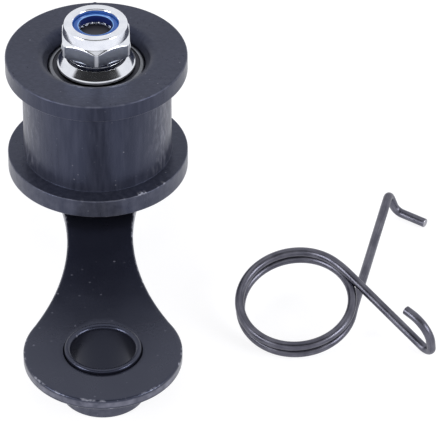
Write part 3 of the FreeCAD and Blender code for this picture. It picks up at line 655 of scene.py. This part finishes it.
def makeAxleBolt():
    low, high = boxOf("axle_bolt")
    base, end, half = low[2], high[2], axleBolt["acrossFlats"] / 2
    seat, threadBase = base + axleBolt["headHeight"], boxOf("lock_nut")[0][2]
    corner = axleBolt["acrossFlats"] / math.sqrt(3) - axleBolt["cornerCut"]
    headTop, rim = seat - axleBolt["flangeHeight"], seat - axleBolt["flangeRim"]
    flange, ease, shank, thread = take(axleBolt, "flangeRadius flangeEase shank thread")
    chamfer, endChamfer = take(axleBolt, "chamfer endChamfer")
    headKnots = [(0, base), (half - chamfer / 4, base), (corner, base + chamfer), (corner, headTop)]
    stemKnots = [(half, headTop), (flange - ease, rim), (flange, rim + ease), (flange, seat), (shank, seat),
                 (shank, threadBase)]
    endKnots = [(thread, threadBase), (thread, end - endChamfer), (thread - endChamfer, end), (0, end)]
    turns = fullTurn(axleBolt["sides"])
    sheets = []
    for knots, steps in ((headKnots, 24), (stemKnots, 12), (endKnots, 40)):
        share = np.linspace(0, len(knots) - 1, steps * (len(knots) - 1) + 1)
        radius, height = (np.interp(share, np.arange(len(knots)), way)[:, None] for way in zip(*knots))
        if knots is headKnots:
            flats = hexRadius(turns, axleBolt["acrossFlats"], math.radians(axleBolt["cornerTurn"]))
            radius = np.minimum(radius, flats)
        if knots is endKnots:
            wave = threadWave(height - threadBase, axleBolt["pitch"], turns)
            depth = axleBolt["threadDepth"] * (wave * 2 - 1)
            radius = radius + depth * (radius > thread - axleBolt["threadZone"])
        sawn = (height > end - axleBolt["sawnZone"]) * (knots is endKnots) * 1.0
        sheets.append(turnedSheet(radius, height, axle, turns, sawn=sawn))
    makePiece("axleBolt", sheets, zinc, "arm", "zinc_plate", "axle_bolt")


# Outer ring and outer shield of a bearing: the ring has eased edges, a pocket for each shield and a race
# whose section is an arc round the balls' circle; the shield is a thin pressed plate
bearing = {"edge": 0.6, "corner": 0.05, "lip": 0.12, "shieldBore": 5.7775, "shieldSeat": 8.4725,
           "shoulder": 7.9225, "pocket": 0.6, "ballPitch": 6.775, "race": 1.6175, "sides": 192}


def makeBearingFaces(side):
    corner, edge, lip, seat, shoulder, bore, pitch, raceRadius = take(
        bearing, "corner edge lip shieldSeat shoulder shieldBore ballPitch race")
    low, high = boxOf(f"{side}_bearing_outer_ring")
    lowPocket, highPocket = low[2] + bearing["pocket"], high[2] - bearing["pocket"]
    middle = (low[2] + high[2]) / 2
    half = math.acos((shoulder - pitch) / raceRadius)
    race = [(pitch + raceRadius * math.cos(turn), middle + raceRadius * math.sin(turn), 0)
            for turn in np.linspace(half, -half, 13)]
    profile = roundedOutline([
        (seat, low[2], corner), (high[0], low[2], edge), (high[0], high[2], edge), (seat, high[2], corner),
        (seat, highPocket, corner), (shoulder, highPocket, corner), *race, (shoulder, lowPocket, corner),
        (seat, lowPocket, corner)], arcSteps=4, sideShares=(0.5,))[0]
    sheet = turnedProfile(profile, axle, bearing["sides"])
    makePiece(f"{side}OuterRing", [sheet], ringSteel, "roller", "bearing_steel", f"{side}_bearing_outer_ring")
    low, high = boxOf(f"{side}_bearing_outer_shield")
    profile = roundedOutline([
        (bore, low[2], corner), (high[0], low[2], corner), (high[0], high[2], lip), (bore, high[2], lip)])[0]
    sheet = turnedProfile(profile, axle, bearing["sides"])
    makePiece(f"{side}Shield", [sheet], shieldSteel, "roller", "bearing_steel",
              f"{side}_bearing_outer_shield")


# Torsion spring: foot, lower leg, coil, upper leg and hook as one path of lines, arcs and a helix, with a
# round section carried along it
spring = {"wire": 0.875, "coil": 10.75, "gap": 0.4, "wholeTurns": 1, "lean": 15.94, "leanHeading": -113.0,
          "rootRun": 2.0, "rootBend": 10.0, "lowerHeading": 75.0, "lowerLength": 34.5, "lowerDroop": 13.16,
          "footHeading": -34.3, "footLength": 8.0, "footStraight": 1.52, "footBend": 1.6, "footSlant": 1.3,
          "footCurve": 2.0, "upperHeading": -48.85, "upperLength": 24.3, "upperDroop": 16.8, "hookBend": 2.0,
          "hookCurve": 4.5, "hookStraight": 5.0, "hookReturn": 6.2, "twistRun": 0.4, "chamfer": 0.12,
          "capRing": 0.5, "sides": 28}


def heading(degrees, climb=0.0):    # unit direction at an angle from +x, climbing by a share of its run
    turn = np.radians(degrees)
    return unit(np.array([np.cos(turn), np.sin(turn), climb]))


# Bent run: straight lines between points with an arc of its own radius at each inner point, each arc sampled
# evenly
def bentRun(points, radii, arcSteps=14, lineSteps=26):
    path = []
    start = points[0]
    for before, corner, after, radius in zip(points, points[1:], points[2:], radii):
        arriving, leaving = unit(corner - before), unit(after - corner)
        turn = math.acos(float(np.clip(arriving @ leaving, -1, 1)))
        reach = radius * math.tan(turn / 2)
        stop = corner - arriving * reach
        path.append(start + (stop - start) * np.linspace(0, 1, lineSteps, endpoint=False)[:, None])
        inward = unit(leaving - arriving * (arriving @ leaving))
        angle = np.linspace(0, turn, arcSteps, endpoint=False)[:, None]
        path.append(stop + radius * (np.sin(angle) * arriving + (1 - np.cos(angle)) * inward))
        start = corner + leaving * reach
    path.append(start + (points[-1] - start) * np.linspace(0, 1, lineSteps)[:, None])
    return np.concatenate(path)


def makeTorsionSpring():
    up = np.array([0.0, 0.0, 1.0])
    radius, wireRadius, lower, upper = take(spring, "coil wire lowerHeading upperHeading")
    pitch = 2 * wireRadius + spring["gap"]
    climb = pitch / (2 * np.pi * radius)
    startAngle = lower - 90
    sweep = 360 * spring["wholeTurns"] + (lower + 180 - upper) % 360
    turn = np.linspace(0, sweep, 300)
    angle = np.radians(startAngle - turn)
    coil = np.stack([radius * np.cos(angle), radius * np.sin(angle), pitch * turn / 360], axis=1)
    # each leg goes on along the coil for a short run, then droops below the coil's plane
    lowerRoot = coil[0] - heading(lower + 180, climb) * spring["rootRun"]
    lowerWay = heading(lower, -math.tan(math.radians(spring["lowerDroop"])))
    lowerEnd = lowerRoot + lowerWay * spring["lowerLength"]
    footWay = heading(spring["footHeading"])
    footDrop = 2 * spring["footBend"] + spring["footStraight"]
    footCorner = lowerEnd - up * footDrop + footWay * spring["footSlant"]
    footTip = footCorner + footWay * (spring["footLength"] - spring["footSlant"])
    upperRoot = coil[-1] + heading(upper, climb) * spring["rootRun"]
    upperWay = heading(upper, -math.tan(math.radians(spring["upperDroop"])))
    upperEnd = upperRoot + upperWay * spring["upperLength"]
    hookCorner = upperEnd + up * (2 * spring["hookBend"] + spring["hookStraight"])
    hookTip = hookCorner - heading(upper) * spring["hookReturn"]
    lowerRun = bentRun([footTip, footCorner, lowerEnd, lowerRoot, coil[0]],
                       take(spring, "footCurve footBend rootBend"))
    upperRun = bentRun([coil[-1], upperRoot, upperEnd, hookCorner, hookTip],
                       take(spring, "rootBend hookBend hookCurve"))
    path = np.concatenate([lowerRun[:-1], coil, upperRun[1:]])
    along = np.concatenate([[0], np.cumsum(np.linalg.norm(np.diff(path, axis=0), axis=1))])
    forward = unit(np.gradient(path, along, axis=0))
    # the section's first direction stays level: square to each leg's upright plane, and outwards on the coil
    footSide, lowerSide = spring["footHeading"] + 90, lower - 90
    footEnd = along[np.argmin(np.linalg.norm(path - footCorner, axis=1))]
    legStart = along[np.argmin(np.linalg.norm(path - lowerEnd, axis=1))]
    middle, twist = (footEnd + legStart) / 2, spring["twistRun"]
    coilStart, coilEnd = along[len(lowerRun) - 1], along[len(lowerRun) - 2 + len(coil)]
    facing = np.interp(along, [0, middle - twist, middle + twist, coilStart, coilEnd, along[-1]],
                       [footSide, footSide, lowerSide, lowerSide, lowerSide - sweep, lowerSide - sweep])
    side = np.stack([np.cos(np.radians(facing)), np.sin(np.radians(facing)), 0 * facing], axis=1)
    side = unit(side - forward * (side * forward).sum(axis=1, keepdims=True))
    across = np.cross(forward, side)
    # both ends are closed by a small chamfer and a flat cut face
    ends = spring["chamfer"]
    rows = np.concatenate([[0, 0, 0], np.arange(len(path)), np.full(3, len(path) - 1)])
    cap = np.array([0, spring["capRing"], 1 - ends / wireRadius])
    size = np.concatenate([cap, np.ones(len(path)), cap[::-1]])
    shift = np.zeros(len(rows))
    shift[3], shift[-4] = ends, -ends
    around = fullTurn(spring["sides"])[None, :, None]
    spot = (path[rows] + forward[rows] * shift[:, None])[:, None]
    ring = wireRadius * (np.cos(around) * side[rows][:, None] + np.sin(around) * across[rows][:, None])
    points = spot + ring * size[:, None, None]
    straight = np.stack(np.broadcast_arrays(along[rows][:, None], wireRadius * np.cos(around[..., 0]),
                                            wireRadius * np.sin(around[..., 0])), axis=-1) * mm
    cut = np.concatenate([[1, 1, 1], np.zeros(len(path)), [1, 1, 1]])
    # leans on the foot, the hook's bend and the coil's front, and moves to the node's lowest corner
    leanAxis = heading(spring["leanHeading"] + 90)
    tilt = np.array(Matrix.Rotation(math.radians(spring["lean"]), 3, tuple(leanAxis)))
    points = points @ tilt.T
    points += boxOf("torsion_spring")[0] - points.min(axis=(0, 1))
    sheet = {"points": points, "straightWire": straight, "cut": np.tile(cut[:, None], spring["sides"])}
    makePiece("torsionSpring", [sheet], springSteel, "arm", "spring_wire", "torsion_spring")


makeArmPlate()
makePivotBush()
makeRoller()
makeLockNut()
makeNutInsert()
makeUpperCollar()
makeAxleBolt()
makeBearingFaces("upper")
makeBearingFaces("lower")
makeTorsionSpring()

# the solids that stay as they are: inner rings, balls, cages, inner shields, spacer and lower collar
finishes = {"_ring": ringSteel, "_balls": ringSteel, "_cage": shieldSteel, "_shield": shieldSteel,
            "collar": zinc, "spacer": zinc}
for node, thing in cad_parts.items():
    for ending, finish in finishes.items():
        if node.endswith(ending):
            for slot in thing.material_slots:
                slot.material = finish
print("solids finished")


# Floor, light and camera

# Two softboxes stand left and right of the camera, so that edges and wire shine on both sides, and the
# collar's front mirrors a dark band of the room. A fill at the front lights what faces the camera and isn't
# mirrored.
studio = {"floorSize": 3.0, "floorDrop": 0.02, "floorGrey": "#8f8f94", "floorLift": 0.83, "floorBounce": 0.4,
          "boreGlow": 0.72, "boreShade": (6.0, 7.5), "world": 0.8, "darkFront": (0.0, -0.18),
          "darkAbove": (0.56, 0.67), "darkBelow": (0.97, 0.9), "darkLevel": 0.03, "aim": (0.02, 0.03, 0.01)}
sideBox = {"rise": 22, "distance": 0.8, "size": 0.35, "power": 3.0, "mirrored": True}
softboxes = (
    {"name": "leftSoftbox", "aside": -62, **sideBox},
    {"name": "rightSoftbox", "aside": 62, **sideBox},
    {"name": "frontFill", "aside": 0, "rise": 15, "distance": 0.9, "size": 0.7, "power": 1.6,
     "mirrored": False})


def seenRay(tree):    # 1 for rays from the camera, mirrors and glass, 0 for the light that falls on surfaces
    path = addNode(tree, "LightPath")
    glass = addNode(tree, "Math", {
        0: path.outputs["Is Glossy Ray"], 1: path.outputs["Is Transmission Ray"]}, operation="MAXIMUM")
    return addNode(tree, "Math", {
        0: path.outputs["Is Camera Ray"], 1: glass.outputs["Value"]}, operation="MAXIMUM").outputs["Value"]


def makeFloor():
    half = studio["floorSize"] / 2
    depth = -studio["floorDrop"] * mm
    mesh = bpy.data.meshes.new("floor")
    mesh.from_pydata([(-half, -half, depth), (half, -half, depth), (half, half, depth), (-half, half, depth)],
                     [], [(0, 1, 2, 3)])
    floor = addObject("floor", mesh)
    material = bpy.data.materials.new("paleFloor")
    tree = emptyTree(material)
    matt = addNode(tree, "BsdfDiffuse", {"Color": linear(studio["floorGrey"])})
    lift = addNode(tree, "MapRange", {
        "Value": seenRay(tree), "To Min": studio["floorBounce"], "To Max": studio["floorLift"]})
    # painted shade: the floor's glow is dimmed inside and round the bush's bore
    spot = addNode(tree, "TexCoord").outputs["Object"]    # the floor inside the bush's bore lies in shade
    away = addNode(tree, "VectorMath", {0: spot}, operation="LENGTH")
    shade = addNode(tree, "MapRange", {
        "Value": away.outputs["Value"], "From Min": studio["boreShade"][0] * mm,
        "From Max": studio["boreShade"][1] * mm, "To Min": studio["boreGlow"]})
    lit = addNode(tree, "Math", {0: lift.outputs["Result"], 1: shade.outputs["Result"]}, operation="MULTIPLY")
    glow = addNode(tree, "Emission", {"Strength": lit.outputs["Value"]})
    both = addNode(tree, "AddShader", {0: matt.outputs["BSDF"], 1: glow.outputs["Emission"]})
    addNode(tree, "OutputMaterial", {"Surface": both.outputs["Shader"]})
    mesh.materials.append(material)


def makeLight():
    world = bpy.data.worlds.new("paleStudio")
    tree = emptyTree(world)
    towards = addNode(tree, "TexCoord").outputs["Generated"]
    parts = addNode(tree, "SeparateXYZ", {"Vector": towards})
    front, above, below = (
        addNode(tree, "MapRange", {"Value": parts.outputs[axis], "From Min": ends[0], "From Max": ends[1]},
                interpolation_type="SMOOTHSTEP").outputs["Result"]
        for axis, ends in (
            ("Y", studio["darkFront"]), ("Z", studio["darkAbove"]), ("Z", studio["darkBelow"])))
    band = addNode(tree, "Math", {0: above, 1: below}, operation="MULTIPLY")
    dark = addNode(tree, "Math", {0: front, 1: band.outputs["Value"]}, operation="MULTIPLY")
    room = addNode(tree, "MapRange", {
        "Value": dark.outputs["Value"], "To Min": 1.0, "To Max": studio["darkLevel"]})
    dimmed = addNode(tree, "MapRange", {"Value": seenRay(tree), "To Min": studio["world"]})
    strength = addNode(tree, "Math", {
        0: room.outputs["Result"], 1: dimmed.outputs["Result"]}, operation="MULTIPLY")
    sky = addNode(tree, "Background", {"Color": (1, 1, 1, 1), "Strength": strength.outputs["Value"]})
    addNode(tree, "OutputWorld", {"Surface": sky.outputs["Background"]})
    scene.world = world
    for box in softboxes:
        lamp = bpy.data.lights.new(box["name"], "AREA")
        lamp.energy = box["power"]
        lamp.size = box["size"]
        softbox = addObject(box["name"], lamp)
        turn, rise = math.radians(box["aside"]), math.radians(box["rise"])
        away = np.array([math.sin(turn) * math.cos(rise), -math.cos(turn) * math.cos(rise), math.sin(rise)])
        softbox.location = np.array(studio["aim"]) + away * box["distance"]
        softbox.rotation_euler = (math.pi / 2 - rise, 0, turn)
        softbox.visible_glossy = box["mirrored"]


# Camera fitted to the photograph: its place, and a frame turned by azimuth, elevation and a slight roll
view = {"place": (-2.57, -576.11, 481.98), "azimuth": -2.41, "elevation": 37.34, "roll": 0.25,
        "focalPixels": 4000, "frameWidth": 440, "sensor": 36.0}


def makeCamera():
    azimuth, elevation, roll = (math.radians(view[key]) for key in ("azimuth", "elevation", "roll"))
    back = np.array([math.sin(azimuth) * math.cos(elevation), -math.cos(azimuth) * math.cos(elevation),
                     math.sin(elevation)])
    right = np.array([math.cos(azimuth), math.sin(azimuth), 0])
    up = np.cross(back, right)
    across = math.cos(roll) * right + math.sin(roll) * up
    upright = math.cos(roll) * up - math.sin(roll) * right
    matrix = np.eye(4)
    matrix[:3] = np.stack([across, upright, back, np.array(view["place"]) * mm], axis=1)
    lens = bpy.data.cameras.new("camera")
    lens.sensor_fit = "HORIZONTAL"
    lens.sensor_width = view["sensor"]
    lens.lens = view["sensor"] * view["focalPixels"] / view["frameWidth"]
    lens.clip_start = 0.01
    camera = addObject("camera", lens)
    camera.matrix_world = Matrix(matrix.tolist())
    scene.camera = camera


makeFloor()
makeLight()
makeCamera()
scene.view_settings.view_transform = "Standard"
print("stage, light and camera set")

bpy.context.view_layer.update()
